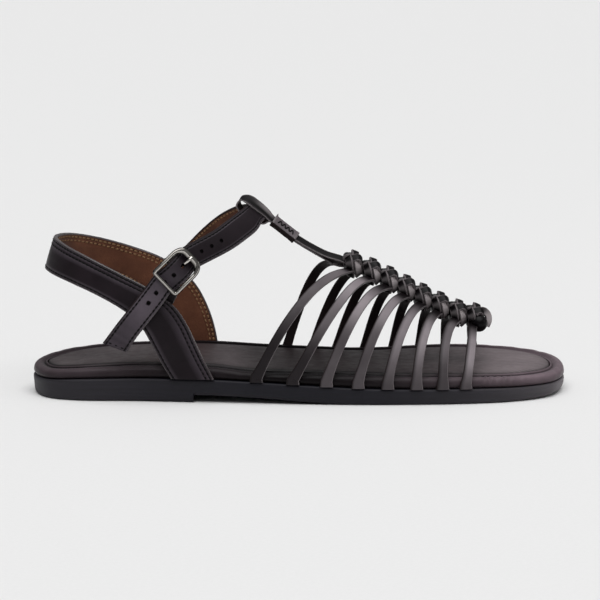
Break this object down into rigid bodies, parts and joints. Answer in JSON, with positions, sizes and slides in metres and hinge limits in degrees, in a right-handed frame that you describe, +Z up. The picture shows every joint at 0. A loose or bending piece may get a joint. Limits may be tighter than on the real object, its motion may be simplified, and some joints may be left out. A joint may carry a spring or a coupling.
{
  "type": "strappy sandal",
  "caption": "Flat right-foot sandal: thin straps knotted along the instep, a T-bar with keeper, a heel strap and a buckled ankle strap on a padded footbed and rubber outsole.",
  "frame": {"origin": "on the floor under the middle of the sandal's box", "axes": "+X from heel to toe, +Y to the medial (inner) side, +Z up"},
  "size_m": [0.256, 0.0937, 0.0937],
  "materials": {
    "outsole_rubber": "matte",
    "footbed_leather": "soft satin",
    "insole_leather": "satin",
    "strap_leather": "satin",
    "lining_suede": "matt nap",
    "thread": "waxed",
    "buckle_metal": "polished dark nickel"
  },
  "bodies": {
    "root": {"outsole": "outsole_rubber", "footbed": "footbed_leather", "insole": "insole_leather", "upper": "strap_leather", "t_bar_keeper": "strap_leather", "heel_strap": "strap_leather", "ankle_strap": "strap_leather", "buckle_frame": "buckle_metal", "buckle_pin": "buckle_metal", "buckle_tab": "strap_leather"}
  },
  "joints": []
}
